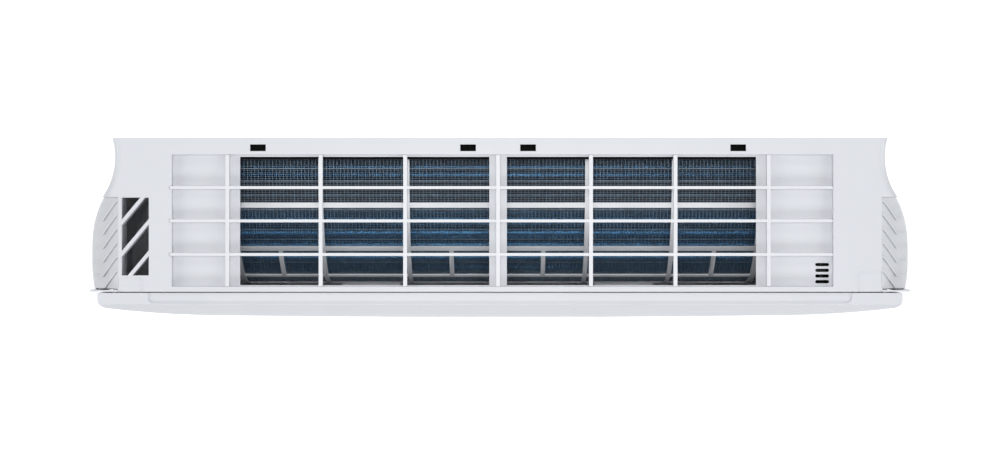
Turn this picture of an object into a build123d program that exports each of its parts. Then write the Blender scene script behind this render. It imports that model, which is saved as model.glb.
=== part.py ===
from build123d import *
import math
import os

# Indoor unit of a wall-mounted split air conditioner, with its front panel closed and its vane shut.
# X runs along the unit to the right, Y points into the wall and Z is up. The origin is on the wall,
# at the middle of the unit's width and height. Sections are drawn with "out", the distance from the
# wall, so that y = -out. All lengths are in millimetres and all angles in degrees.

# Overall size
width = 863.0
depth = 188.0
height = 298.0
top = height / 2
bottom = -height / 2

# Walls and clearances
skin = 2.5
thin_wall = 2.0
seam = 1.2
running_gap = 0.06
slide_gap = 0.4

# Plan of the casing: a hollow arc near the wall runs into a bulged arc near the front
waist_half = 398.6
waist_out = 20.0
bulge_out = 122.0
bulge_radius = 103.6
edge_round = 7.0
lip_out = 159.2
lip_thickness = 2.0
front_wall_out = 156.0

# Side view of the casing below the front panel
chin_radius = 105.0
sill_top = bottom + 52.5
back_bottom = bottom + 21.0
heel_out = 40.0

# Front panel
panel_back = lip_out + seam
front_arc_half = 304.0
front_arc_drop = 3.1
front_end_half = 408.0
front_end_out = depth - 11.4
front_corner_radius = 9.5
panel_top = top - 1.5
panel_bottom = sill_top + 1.5
panel_rim_out = panel_back + 10.7
panel_crown_z = 80.0
panel_foot_out = depth - 7.0
panel_wall = 2.6
strip_half = 363.8
strip_depth = 1.4
strip_lip = 1.3
strip_corner = 6.0

# Panel hinge
hinge_out = panel_back + 4.6
hinge_z = top - 8.6
hinge_pin_radius = 1.6
hinge_ear_radius = 2.9
hinge_ear_x = 398.0
hinge_ear_width = 4.0

# Sunken intake and its grille
recess_x = (-339.0, 344.2)
recess_out = (17.5, 154.0)
recess_depth = 8.0
recess_floor = top - recess_depth
intake_centre = -2.0
window_inner = 9.1
window_outer = 267.4
window_out = (19.6, 152.6)
grille_proud = 0.5
long_rib_width = 4.0
long_rib_places = (0.0, 96.0, 183.3, 279.7)
cross_rib_width = 3.0
cross_rib_outs = (51.6, 86.0, 120.7)
cross_rib_height = 5.0
rib_lap = 2.6
rib_lap_thickness = 1.2
rib_lap_clear = 0.3

# Hook slots along the wall edge
hook_slot_out = 10.5
hook_slot_length = 16.2
hook_slot_width = 7.0
hook_slot_places = (31.0, 248.0)

# Barred opening at the left end and four slots at the right end
end_opening_x = (-390.6, -362.7)
end_opening_out = (61.9, 142.4)
end_opening_depth = 30.0
end_bar_width = 3.6
end_bar_outs = (68.1, 100.6, 133.1)
end_bar_angle = 50.0
end_bar_depth = 14.0
vent_slot_x = 333.9
vent_slot_length = 14.4
vent_slot_width = 3.4
vent_slot_outs = (131.3, 137.2, 143.1, 149.0)
corner_step_x = (369.0, 394.7)
corner_step_depth = 1.5
corner_step_round = 4.0
right_step_out = 138.3
left_step_out = 144.5

# Ribbed side panels on the sloping shoulders
shoulder_x = 394.2
shoulder_out = (61.4, 157.4)
shoulder_start_drop = 1.5
shoulder_start_slope = 32.0
shoulder_radius = 84.0
side_panel_thickness = 2.4
chevron_count = 6
chevron_pitch = 14.5
chevron_first_out = 64.0
chevron_fall = 19.6
chevron_end = 3.1
chevron_width = 2.2
chevron_height = 1.6

# Service window in the front wall, behind the front panel
service_x = (-365.0, 296.0)
service_z = (bottom + 87.0, top - 15.0)
ledge_half = 392.0
ledge_out = 160.0

# Filters: rigid arcs that slide round one axis
filter_axis_out = 30.0
filter_radius = front_wall_out - filter_axis_out - 2.0
filter_axis_z = top - 25.0 - filter_radius
filter_thickness = 3.7
filter_bay_angle = 25.1
filter_bays = 4
filter_low_angle = -3.9
filter_top_extra = 1.3
filter_width = 277.6
filter_gap = 1.2
filter_border = 5.6
filter_bar_width = 4.6
filter_bar_depth = 1.7
filter_mesh_thickness = 0.5
filter_tab_half = 32.0
filter_tab_reach = 3.2

# Chassis
chassis_half = 396.0
chassis_back = 8.0
chassis_top = recess_floor - skin - 2.5
rail_out = 22.0
end_wall_left = -298.0
end_wall_right = 281.0
wheel_out = 66.0
wheel_z = bottom + 101.0
wheel_radius = 46.0
scroll_gap = 5.0
scroll_growth = 22.0
scroll_start_angle = 135.0
scroll_end_angle = 272.0
outlet_lip = (91.0, bottom + 9.5)
rear_trough_z = wheel_z + 50.5
rear_trough_out = 30.5
rear_trough_height = 13.0

# Evaporator
coil_thickness = 22.0
coil_left = end_wall_left + 1.2
coil_right = end_wall_right - 1.2
coil_gap = 2.9
coil_top_angle = 66.9
coil_foot_z = bottom + 107.0
rear_coil_foot = (12.5, rear_trough_z + 24.0)
rear_coil_slope = 65.8
rear_coil_length = 72.0
tube_radius = 3.5
tube_bend_radius = 10.5

# Drain pan and air outlet
pan_back = wheel_out + wheel_radius + 4.5
pan_front = pan_back + 36.0
pan_floor = bottom + 87.0
pan_rim = pan_floor + 18.0
outlet_nose = (pan_front - 1.7, sill_top - skin - 1.5)
spigot_radius = 8.0
spigot_bore = 6.0
spigot_length = 30.0
spigot_out = 134.0

# Vane
vane_half = 335.0
vane_thickness = 2.4
vane_low_angle = 5.0
vane_high_angle = 57.3
vane_pivot = (112.0, bottom + 17.0)
vane_pin_radius = 2.5
outlet_plate_x = vane_half + 3.5
outlet_open_half = outlet_plate_x + thin_wall + 2.5
outlet_back_out = 95.5

# Louvres
louvre_count = 5
louvre_pitch = 56.0
louvre_middle_x = (end_wall_left + end_wall_right) / 2
louvre_place = 0.46
louvre_chord = (-20.0, 22.0)
louvre_height = 36.0
louvre_thickness = 1.6
louvre_pin_radius = 1.5
louvre_arm = 15.0
link_drop = 30.0
link_width = 10.0
link_thickness = 1.6
link_pin_radius = 1.1

# Cross-flow fan
blade_count = 20
blade_inner_radius = 36.0
blade_thickness = 1.4
wheel_left = end_wall_left + 6.0
wheel_right = end_wall_right - 9.0
wheel_segments = 4
disc_thickness = 2.4
shaft_radius = 4.0
hub_radius = 9.0
motor_radius = 41.0
motor_x = (288.0, 348.0)
bearing_radius = 11.0
bearing_length = 9.0

# Wall plate
plate_half = 330.0
plate_z = (-62.0, 112.0)
plate_thickness = 1.2
plate_flange = 6.0
plate_hole_radius = 3.1
plate_hole_spacing_x = 560.0
plate_hole_spacing_z = 130.0
plate_hole_middle_z = 18.0

# Control box
box_x = (316.0, 394.0)
box_out = (24.0, 146.0)
box_z = (wheel_z + 54.0, recess_floor - 17.0)
board_thickness = 1.6

# Pipes and their unions
gas_radius = 4.76
liquid_radius = 3.2
gas_union_radius = 7.94
liquid_union_radius = 5.56
pipe_run_out = 16.0
gas_run_z = bottom + 44.0
liquid_run_z = bottom + 27.0
union_x = 60.0
union_length = 14.0

# Screws, their caps and the hand button
casing_screw_xs = (-240.0, 0.0, 240.0)
casing_screw_z = sill_top + 17.0
screw_hole_radius = 2.3
screw_radius = 2.1
screw_head_radius = 4.2
screw_head_height = 2.2
screw_length = 14.0
cap_radius = 6.5
button_x = 340.0
button_z = bottom + 92.0
button_radius = 4.5

# More places inside the unit
display_x = (322.0, 374.0)
display_z = (bottom + 112.0, bottom + 128.0)
window_clear = 0.15
filter_middle_x = intake_centre - 0.8
filter_axis = (filter_axis_out, filter_axis_z)
filter_cross_width = 5.6
filter_columns = 3
filter_tab_thickness = 2.2
coil_foot_clear = 1.2
coil_bend_rise = 28.0
seal_bulge = 2.5
sheet_margin = 8.0
end_wall_clear = 1.5
tube_end_margin = 30.0
tube_rows = (5.5, 16.5)
chassis_foot = bottom + 24.0
outlet_throat = ((88.5, bottom + 24.0), (104.0, bottom + 41.0))
outlet_cheek = (97.0, bottom + 58.0)
screw_boss_radius = 5.0
hanger_x = 200.0
hanger_width = 24.0
cradle_x = (318.0, 344.0)
clamp_x = (324.0, 338.0)
gas_turn_x = end_wall_right + 19.5
liquid_turn_x = end_wall_right + 29.0
pipe_drop = 26.0
vane_rib_angles = (24.0, 42.0)
vane_motor_radius = 10.0
blade_lean = 10.0
blade_bow = 2.2
link_middle = -14.2
link_end = 8.0
louvre_swing = 30.0
plate_windows = 5
plate_window_pitch = 110.0
plate_window_size = (70.0, 44.0)
plate_window_rise = -30.0
board_out = 60.0
board_parts = ((6, 60, 20, 16, 18), (32, 62, 26, 22, 15), (8, 30, 16, 10, 12))
board_cans = ((38, 24, 8, 26), (59, 48, 5, 18))

plan_plane = Plane(origin=(0, 0, 0), x_dir=(1, 0, 0), z_dir=(0, 0, -1))
side_plane = Plane(origin=(0, 0, 0), x_dir=(0, -1, 0), z_dir=(-1, 0, 0))
front_plane = Plane(origin=(0, 0, 0), x_dir=(1, 0, 0), z_dir=(0, -1, 0))


def polygon(*points):
    return make_face(Polyline(*points, close=True))


def along_x(face, start, end):
    """A face drawn as (out, z), extruded from one X to another."""
    return Pos(start, 0, 0) * extrude(side_plane * face, amount=end - start, dir=(1, 0, 0))


def along_z(face, start, end):
    """A face drawn as (x, out), extruded from one height to another."""
    return Pos(0, 0, start) * extrude(plan_plane * face, amount=end - start, dir=(0, 0, 1))


def along_out(face, start, end):
    """A face drawn as (x, z), extruded from one distance from the wall to another."""
    return Pos(0, -start, 0) * extrude(front_plane * face, amount=end - start, dir=(0, -1, 0))


def block(x, out, z):
    """A box between three (low, high) pairs."""
    size = Box(x[1] - x[0], out[1] - out[0], z[1] - z[0])
    return Pos((x[0] + x[1]) / 2, -(out[0] + out[1]) / 2, (z[0] + z[1]) / 2) * size


def rod_x(radius, x, out, z):
    rod = Rot(0, 90, 0) * Cylinder(radius, x[1] - x[0])
    return Pos((x[0] + x[1]) / 2, -out, z) * rod


def rod_out(radius, x, out, z):
    rod = Rot(90, 0, 0) * Cylinder(radius, out[1] - out[0])
    return Pos(x, -(out[0] + out[1]) / 2, z) * rod


def both_sides(shape):
    return shape + mirror(shape, about=Plane.YZ)


def polar(centre, radius, angle):
    turn = math.radians(angle)
    return (centre[0] + radius * math.cos(turn), centre[1] + radius * math.sin(turn))


def toward(start, end, distance, side=0.0):
    """The point at a distance from start towards end, moved to the left of that line by side."""
    run = (end[0] - start[0], end[1] - start[1])
    length = math.hypot(*run)
    step = (run[0] / length, run[1] / length)
    return (start[0] + step[0] * distance - step[1] * side, start[1] + step[1] * distance + step[0] * side)


def arc_band(centre, outer, inner, low, high):
    """A face between two circles and two angles."""
    size = high - low
    outside = CenterArc(centre, outer, low, size)
    inside = CenterArc(centre, inner, low, size)
    return make_face([outside, inside, Line(outside @ 0, inside @ 0), Line(outside @ 1, inside @ 1)])


def strip(points, thickness):
    """A face of even thickness to the left of a chain of points."""
    left = []
    for i, point in enumerate(points):
        before = points[max(i - 1, 0)]
        after = points[min(i + 1, len(points) - 1)]
        steps = [(point, after) if before == point else (before, point)]
        steps.append((before, point) if after == point else (point, after))
        normals = []
        for a, b in steps:
            length = math.hypot(b[0] - a[0], b[1] - a[1])
            normals.append(((a[1] - b[1]) / length, (b[0] - a[0]) / length))
        mean = ((normals[0][0] + normals[1][0]) / 2, (normals[0][1] + normals[1][1]) / 2)
        stretch = thickness / (mean[0] ** 2 + mean[1] ** 2)
        left.append((point[0] + mean[0] * stretch, point[1] + mean[1] * stretch))
    return polygon(*points, *reversed(left))


def hollow_arc():
    """Centre and radius in plan of the hollow arc, which is tangent to the bulged one."""
    narrow = width / 2 - waist_half
    run = bulge_out - waist_out
    reach = (narrow**2 + run**2) / (2 * narrow)
    radius = reach - bulge_radius
    return (waist_half + radius, waist_out), radius


def bulge_x(out, inset=0.0):
    radius = bulge_radius - inset
    return width / 2 - bulge_radius + math.sqrt(radius**2 - (out - bulge_out) ** 2)


def side_arcs(inset, back, front):
    """The casing's right side in plan, from the wall forwards."""
    hollow, hollow_radius = hollow_arc()
    radius = hollow_radius + inset
    bulge = (width / 2 - bulge_radius, bulge_out)
    join = toward(bulge, hollow, bulge_radius - inset)

    def hollow_x(out):
        return hollow[0] - math.sqrt(radius**2 - (out - waist_out) ** 2)

    middle_out = (back + join[1]) / 2
    first = ThreePointArc((hollow_x(back), back), (hollow_x(middle_out), middle_out), join)
    widest = (bulge_x(bulge_out, inset), bulge_out)
    second = ThreePointArc(join, widest, (bulge_x(front, inset), front))
    return [first, second]


def casing_plan(inset, back, front):
    right = side_arcs(inset, back, front)
    left = [mirror(edge, about=Plane.YZ) for edge in right]
    front_edge = Line(right[1] @ 1, left[1] @ 1)
    back_edge = Line(right[0] @ 0, left[0] @ 0)
    return make_face([*right, *left, front_edge, back_edge])


def front_plan(inset, back):
    """The front in plan: one wide arc, a tighter arc towards each end and a rounded corner."""
    shoulder = (front_arc_half, depth - front_arc_drop - inset)
    wide = ThreePointArc((-shoulder[0], shoulder[1]), (0, depth - inset), shoulder)
    end = (front_end_half - inset, front_end_out - inset)
    near_end = TangentArc(shoulder, end, tangent=wide % 1)
    heading = near_end % 1
    turn = 90 + math.degrees(math.atan2(heading.Y, heading.X))
    corner = JernArc(end, heading, front_corner_radius - inset, -turn)
    side = Line(corner @ 1, ((corner @ 1).X, back))
    right = [near_end, corner, side]
    left = [mirror(edge, about=Plane.YZ) for edge in right]
    return make_face([wide, *right, *left, Line(side @ 1, left[2] @ 1)])


def chin_centre():
    rise = sill_top - bottom
    run = math.sqrt(2 * chin_radius * rise - rise**2)
    return (front_foot_out() - run, bottom + chin_radius)


def front_foot_out():
    """How far out the casing's sill stands, just under the front panel's foot."""
    return panel_foot_out


def chin_point(angle, inset=0.0):
    """A point on the curved chin, by its angle from straight down."""
    return polar(chin_centre(), chin_radius - inset, angle - 90)


def casing_side(inset, back, front):
    """The casing in side view, with its curved chin below the sill."""
    centre = chin_centre()
    radius = chin_radius - inset
    sill_z = sill_top - inset
    sill = (centre[0] + math.sqrt(radius**2 - (sill_z - centre[1]) ** 2), sill_z)
    low = (centre[0], bottom + inset)
    half_way = polar(centre, radius, (math.degrees(math.atan2(sill_z - centre[1], sill[0] - centre[0])) - 90) / 2)
    chin = ThreePointArc(sill, half_way, low)
    rest = Polyline(
        low,
        (heel_out, bottom + inset),
        (back, back_bottom + inset),
        (back, top - inset),
        (front, top - inset),
        (front, sill_z),
        sill,
    )
    return make_face([chin, *rest.edges()])


def shoulder_centre():
    slope = math.radians(shoulder_start_slope)
    start = (shoulder_x, top - shoulder_start_drop)
    return (start[0] - shoulder_radius * math.sin(slope), start[1] - shoulder_radius * math.cos(slope))


def over_shoulder(sink, margin=0.0):
    """The space over the right shoulder's slope, sunk below its surface and widened by margin."""
    high = top + skin
    outside = polygon(
        (shoulder_x - margin, high),
        (width / 2 + skin, high),
        (width / 2 + skin, shoulder_centre()[1]),
        (shoulder_x - margin, shoulder_centre()[1]),
    )
    circle = Pos(*shoulder_centre()) * Circle(shoulder_radius - sink)
    outs = (shoulder_out[0] - margin, shoulder_out[1] + margin)
    return along_out(outside - circle, *outs)


def shoulder_plan(inset):
    """The right shoulder in plan, inside the casing's outline."""
    far = width / 2 + skin
    region = polygon(
        (shoulder_x, shoulder_out[0]),
        (far, shoulder_out[0]),
        (far, shoulder_out[1]),
        (shoulder_x, shoulder_out[1]),
    )
    return region & casing_plan(inset, 0, shoulder_out[1] + 1)


def side_panel_right():
    """A sloping trim plate with slanted ribs, each with a short straight end."""
    clear = 0.15
    place = along_z(shoulder_plan(skin + clear), bottom, top)
    low = shoulder_centre()[1]
    high = top + skin
    region = polygon((shoulder_x + clear, low), (width / 2, low), (width / 2, high), (shoulder_x + clear, high))
    surface = Pos(*shoulder_centre()) * Circle(shoulder_radius)
    under = Pos(*shoulder_centre()) * Circle(shoulder_radius - side_panel_thickness)
    rib_top = Pos(*shoulder_centre()) * Circle(shoulder_radius + chevron_height)
    outs = (shoulder_out[0] + clear, front_wall_out + clear)
    plate = along_out(region & (surface - under), *outs) & place
    layer = along_out(region & (rib_top - under), *outs) & place
    ribs = []
    for i in range(chevron_count):
        out = chevron_first_out + i * chevron_pitch
        bend = shoulder_x + chevron_end
        far_bend = bend + chevron_fall * 0.82
        rib = strip(
            [
                (shoulder_x, out),
                (bend, out),
                (far_bend, out + chevron_fall),
                (width / 2, out + chevron_fall),
            ],
            chevron_width,
        )
        ribs.append(along_z(rib, low, high) & layer)
    return plate + ribs


def side_panel_left():
    return mirror(side_panel_right(), about=Plane.YZ)


def end_opening_face(grow):
    x = (end_opening_x[0] - grow, end_opening_x[1] + grow)
    out = (end_opening_out[0] - grow, end_opening_out[1] + grow)
    return polygon((x[0], out[0]), (x[1], out[0]), (x[1], out[1]), (x[0], out[1]))


def end_bars():
    """Slanted bars across the opening at the left end."""
    middle = (end_opening_x[0] + end_opening_x[1]) / 2
    reach = 60.0
    turn = math.radians(end_bar_angle)
    bars = []
    for out in end_bar_outs:
        start = (middle - reach * math.cos(turn), out + reach * math.sin(turn))
        end = (middle + reach * math.cos(turn), out - reach * math.sin(turn))
        bars.append(strip([start, end], end_bar_width))
    faces = [bar & end_opening_face(0.5) for bar in bars]
    return [along_z(face, top - end_bar_depth, top) for face in faces]


def corner_step(x, out):
    """The shallow step at a front corner of the top face, open towards the front panel."""
    x_low, x_high = sorted(x)
    face = polygon((x_low, out), (x_high, out), (x_high, lip_out + 1), (x_low, lip_out + 1))
    inner = min(x, key=abs)
    corner = [v for v in face.vertices() if abs(v.X - inner) < 0.1 and abs(v.Y - out) < 0.1]
    face = fillet(corner, corner_step_round)
    return along_z(face, top - corner_step_depth, top + 1)


def intake_windows(low, high):
    cuts = []
    for sign in (-1, 1):
        ends = sorted((intake_centre + sign * window_inner, intake_centre + sign * window_outer))
        cuts.append(block(ends, window_out, (low, high)))
    return cuts


def casing():
    """The outer shell: top with its sunken intake, sides, front wall and the cheeks beside the vane."""
    outline = casing_plan(0, 0, lip_out) + front_plan(0, front_wall_out)
    outer = along_z(outline, bottom, top) & along_x(casing_side(0, 0, lip_out), -width, width)
    top_edges = outer.edges().filter_by_position(Axis.Z, top - 0.1, top + 0.1)
    side_edges = [edge for edge in top_edges if abs(edge.center().X) > waist_half - 5]
    outer = fillet(side_edges, edge_round)

    inner_front = front_wall_out - skin
    inner_plan = casing_plan(skin, -1, inner_front) + front_plan(skin, inner_front - 1)
    cavity = along_z(inner_plan, bottom, top) & along_x(casing_side(skin, -1, inner_front), -width, width)
    recess = block(recess_x, recess_out, (recess_floor, top + 1))
    wall = (-skin, skin)
    recess_shell = block(
        [a + b for a, b in zip(recess_x, wall)],
        [a + b for a, b in zip(recess_out, wall)],
        (recess_floor - skin, top),
    )
    cavity -= recess_shell
    cavity -= along_z(end_opening_face(thin_wall), top - end_opening_depth, top)
    cavity -= both_sides(over_shoulder(side_panel_thickness + thin_wall, skin))
    shell = outer - cavity - recess

    shell -= block((-416.5, 416.5), (front_wall_out, lip_out + 1), (sill_top, top - lip_thickness))
    shell -= both_sides(over_shoulder(0.0))
    slot = along_z(shoulder_plan(skin), bottom, top + skin)
    shell -= both_sides(over_shoulder(side_panel_thickness) & slot)
    shell -= intake_windows(recess_floor - skin - 1, recess_floor + 1)
    for place in hook_slot_places:
        for sign in (-1, 1):
            middle = intake_centre + sign * place
            x = (middle - hook_slot_length / 2, middle + hook_slot_length / 2)
            out = (hook_slot_out - hook_slot_width / 2, hook_slot_out + hook_slot_width / 2)
            shell -= block(x, out, (top - 2 * skin, top + 1))
    for out in vent_slot_outs:
        slot_face = Pos(vent_slot_x, out) * SlotOverall(vent_slot_length, vent_slot_width)
        shell -= along_z(slot_face, recess_floor - 2 * skin, top)
    for out in cross_rib_outs:
        half = cross_rib_width / 2 + rib_lap_clear
        x = (recess_x[0] - rib_lap - rib_lap_clear, recess_x[0] + 1)
        shell -= block(x, (out - half, out + half), (top - grille_proud - rib_lap_thickness, top + 1))
    shell -= along_z(end_opening_face(0), top - end_opening_depth - 1, top + 1)
    shell += end_bars()
    shell -= corner_step(corner_step_x, right_step_out)
    shell -= corner_step([-x for x in corner_step_x], left_step_out)
    shell -= block(service_x, (inner_front - 1, front_wall_out + 1), service_z)
    shell -= block(
        (-outlet_open_half, outlet_open_half), (outlet_back_out, depth), (bottom - 1, sill_top - skin)
    )
    for x in casing_screw_xs:
        shell -= rod_out(screw_hole_radius, x, (inner_front - 1, front_wall_out + 1), casing_screw_z)
    shell -= rod_out(button_radius + 0.3, button_x, (inner_front - 1, front_wall_out + 1), button_z)
    shell += block((-ledge_half, ledge_half), (front_wall_out, ledge_out), (service_z[1], service_z[1] + thin_wall))
    ear_x = (hinge_ear_x, hinge_ear_x + hinge_ear_width)
    ear_arm = polygon(
        (inner_front, service_z[1] + thin_wall),
        (hinge_out - hinge_pin_radius, hinge_z - 1.2),
        (hinge_out + hinge_pin_radius, hinge_z - 2.0),
        (inner_front, service_z[1] - 2 * thin_wall),
    )
    ear = rod_x(hinge_ear_radius, ear_x, hinge_out, hinge_z) + along_x(ear_arm, *ear_x)
    ear -= rod_x(hinge_pin_radius + running_gap, (hinge_ear_x - 1, hinge_ear_x + hinge_ear_width + 1), hinge_out, hinge_z)
    return shell + both_sides(ear)


def intake_grille():
    """The lattice that stands on the recess floor: long ribs, cross ribs and a centre bar."""
    low = recess_floor
    high = top - grille_proud
    ribs = []
    for place in long_rib_places:
        for sign in (-1, 1) if place else (1,):
            middle = intake_centre + sign * place
            x = (middle - long_rib_width / 2, middle + long_rib_width / 2)
            ribs.append(block(x, (recess_out[0] + 0.3, recess_out[1] - 0.3), (low, high)))
    for out in cross_rib_outs:
        x = (recess_x[0] + 0.3, recess_x[1] - 0.3)
        outs = (out - cross_rib_width / 2, out + cross_rib_width / 2)
        ribs.append(block(x, outs, (high - cross_rib_height, high)))
        ribs.append(block((recess_x[0] - rib_lap, x[0]), outs, (high - rib_lap_thickness, high)))
    return ribs[0] + ribs[1:]


def panel_side(inset, top_inset):
    """The front panel in side view: a soft top, its crown at panel_crown_z and a long gentle fall."""
    rim_out = panel_rim_out + strip_lip
    rise = panel_top - panel_crown_z
    reach = depth - rim_out
    centre = (depth - (reach**2 + rise**2) / (2 * reach), panel_crown_z)
    radius = depth - inset - centre[0]
    high_z = panel_top - top_inset
    high_angle = math.degrees(math.asin((high_z - panel_crown_z) / radius))
    high = ThreePointArc(polar(centre, radius, high_angle), polar(centre, radius, high_angle / 2), polar(centre, radius, 0))
    foot = (panel_foot_out - inset, panel_bottom + inset)
    low = TangentArc(high @ 1, foot, tangent=(0, -1))
    rest = Polyline(foot, (panel_back - 1, foot[1]), (panel_back - 1, high_z), high @ 0)
    return make_face([high, low, *rest.edges()])


def panel_shell():
    """The front panel's shell, open towards the casing, with a sunken strip along its top."""
    outer = along_z(front_plan(0, panel_back), panel_bottom, panel_top)
    outer &= along_x(panel_side(0, 0), -width, width)
    inner = along_z(front_plan(panel_wall, panel_back - 1), bottom, top)
    inner &= along_x(panel_side(panel_wall, panel_wall + strip_depth), -width, width)
    strip_face = polygon(
        (-strip_half, panel_back - 1),
        (strip_half, panel_back - 1),
        (strip_half, panel_rim_out),
        (-strip_half, panel_rim_out),
    )
    corners = strip_face.vertices().filter_by_position(Axis.Y, panel_rim_out - 0.1, panel_rim_out + 0.1)
    strip_face = fillet(corners, strip_corner)
    return outer - inner - along_z(strip_face, panel_top - strip_depth, panel_top + 1)


def front_panel():
    """The hinged front panel with its hinge pins, stiffening ribs and the opening for the display."""
    shell = panel_shell() - block(display_x, (panel_rim_out, depth + 1), display_z)
    arm_x = (hinge_ear_x + hinge_ear_width + 2.5, hinge_ear_x + hinge_ear_width + 5.0)
    arm = block(arm_x, (hinge_out - 3.2, depth - 15), (hinge_z - 5.0, panel_top - panel_wall - strip_depth))
    arm += rod_x(hinge_pin_radius, (hinge_ear_x - 0.8, arm_x[1] - 1), hinge_out, hinge_z)
    return shell + both_sides(arm)


def display_window():
    """A lens that fills its opening in the front panel and follows the panel's curve."""
    return panel_wall_piece(window_clear)


def panel_wall_piece(clear):
    """The part of the front panel's wall where the display window sits."""
    x = (display_x[0] + clear, display_x[1] - clear)
    z = (display_z[0] + clear, display_z[1] - clear)
    return panel_shell() & block(x, (panel_rim_out, depth + 1), z)


def filter_x(side):
    """Left and right ends of the left (-1) or right (1) filter."""
    near = filter_middle_x + side * filter_gap / 2
    return tuple(sorted((near, near + side * filter_width)))


def filter_band(outer, inner, low, high, x):
    return along_x(arc_band(filter_axis, outer, inner, low, high), *x)


def filter_high_angle():
    return filter_low_angle + filter_bays * filter_bay_angle + filter_top_extra


def filter_cells():
    """Angles of the bays and, for each, the ends of its columns as distances from the filter's left end."""
    margin = math.degrees(filter_border / filter_radius)
    half_turn = math.degrees(filter_cross_width / filter_radius) / 2
    pitch = (filter_width - filter_border) / filter_columns
    middles = [filter_border / 2 + i * pitch for i in range(filter_columns + 1)]
    cells = []
    for bay in range(filter_bays):
        low = filter_low_angle + bay * filter_bay_angle + (half_turn if bay else margin)
        high = filter_low_angle + (bay + 1) * filter_bay_angle - half_turn
        if bay == filter_bays - 1:
            high = filter_high_angle() - margin
        bars = list(middles)
        if bay == 1:
            bars = sorted([*bars, middles[0] + pitch / 2, middles[-1] - pitch / 2])
        for left, right in zip(bars, bars[1:]):
            start = left + (filter_border if left == middles[0] else filter_bar_width) / 2
            end = right - (filter_border if right == middles[-1] else filter_bar_width) / 2
            cells.append((low, high, start, end))
    return cells


def filter_frame(side):
    """A rigid curved frame with long bars, cross bars, two short bars and a pull tab."""
    x = filter_x(side)
    inner = filter_radius - filter_thickness
    high = filter_high_angle()
    margin = math.degrees(filter_border / filter_radius)
    opening = (x[0] + filter_border, x[1] - filter_border)
    bar_low = filter_radius - filter_bar_depth
    frame = filter_band(filter_radius, inner, filter_low_angle, high, x)
    frame -= filter_band(bar_low, inner - 1, filter_low_angle + margin, high - margin, opening)
    for low_angle, high_angle, start, end in filter_cells():
        frame -= filter_band(filter_radius + 1, bar_low - 1, low_angle, high_angle, (x[0] + start, x[0] + end))
    middle = (x[0] + x[1]) / 2
    tab_x = (middle - filter_tab_half, middle + filter_tab_half)
    tab_top = filter_low_angle + math.degrees(filter_tab_thickness / filter_radius)
    return frame + filter_band(filter_radius + filter_tab_reach, inner, filter_low_angle, tab_top, tab_x)


def filter_mesh(side):
    """The woven net, welded under the bars and inside the frame's border."""
    x = filter_x(side)
    high = filter_high_angle()
    margin = math.degrees(filter_border / filter_radius)
    outer = filter_radius - filter_bar_depth
    inside = (x[0] + filter_border, x[1] - filter_border)
    return filter_band(outer, outer - filter_mesh_thickness, filter_low_angle + margin, high - margin, inside)


def front_coil_line():
    """The front coil's outer face in side view: foot, bend and top."""
    reach = filter_radius - filter_thickness
    foot_out = filter_axis_out + math.sqrt((reach - coil_foot_clear) ** 2 - (coil_foot_z - filter_axis_z) ** 2)
    coil_top = polar(filter_axis, reach - coil_gap, coil_top_angle)
    return [(foot_out, coil_foot_z), (foot_out, filter_axis_z + coil_bend_rise), coil_top]


def rear_coil_line():
    """The rear coil's outer face in side view: top and foot."""
    return [polar(rear_coil_foot, rear_coil_length, rear_coil_slope), rear_coil_foot]


def evaporator_front():
    return along_x(strip(front_coil_line(), coil_thickness), coil_left, coil_right)


def evaporator_rear():
    return along_x(strip(rear_coil_line(), coil_thickness), coil_left, coil_right)


def evaporator_seal():
    """The foam wedge that closes the gap where the two coils meet at the top."""
    bend, coil_top = front_coil_line()[1:]
    rear_top, rear_foot = rear_coil_line()
    length = math.dist(bend, coil_top)
    face = polygon(
        rear_top,
        toward(rear_top, rear_foot, 0, coil_thickness),
        toward(bend, coil_top, length, coil_thickness),
        coil_top,
        toward(coil_top, rear_top, 0.3 * seal_bulge * 10, -seal_bulge),
        toward(rear_top, coil_top, seal_bulge, seal_bulge),
    )
    return along_x(face, coil_left, coil_right)


def tube_sheet(start, end):
    """The steel end plate of both coils, with a margin that meets the chassis's end wall."""
    face = strip(front_coil_line(), coil_thickness + sheet_margin)
    face += strip(rear_coil_line(), coil_thickness + sheet_margin)
    return along_x(face, start, end)


def tube_sheet_left():
    return tube_sheet(end_wall_left, coil_left)


def tube_sheet_right():
    return tube_sheet(coil_right, end_wall_right)


def bend_places():
    """Middle and heading of each return bend, in two rows along both coils."""
    foot, bend, coil_top = front_coil_line()
    rear_top, rear_foot = rear_coil_line()
    places = []
    for start, end in ((foot, bend), (bend, coil_top), (rear_top, rear_foot)):
        length = math.dist(start, end)
        count = int((length - tube_end_margin) // (4 * tube_bend_radius)) + 1
        for row in tube_rows:
            for i in range(count):
                along = length / 2 + (i - (count - 1) / 2) * 4 * tube_bend_radius
                heading = math.degrees(math.atan2(end[1] - start[1], end[0] - start[0]))
                places.append((toward(start, end, along, row), heading))
    return places


def return_bend(place, heading, x):
    """Half a ring of tube with flat facets, standing out of a tube sheet at X towards the right."""
    tube = Pos(tube_bend_radius, 0) * RegularPolygon(tube_radius, 8, rotation=22.5)
    ring = revolve(Plane.XZ * tube, Axis.Z, 180)
    turn = math.radians(heading)
    along = Vector(0, -math.cos(turn), math.sin(turn))
    place_plane = Plane(origin=(x, -place[0], place[1]), x_dir=along, z_dir=along.cross(Vector(1, 0, 0)))
    return place_plane * ring


def tube_bends_right():
    return [return_bend(place, heading, end_wall_right) for place, heading in bend_places()]


def tube_bends_left():
    bends = [return_bend(place, heading, -end_wall_left) for place, heading in bend_places()]
    return [mirror(bend, about=Plane.YZ) for bend in bends]


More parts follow.
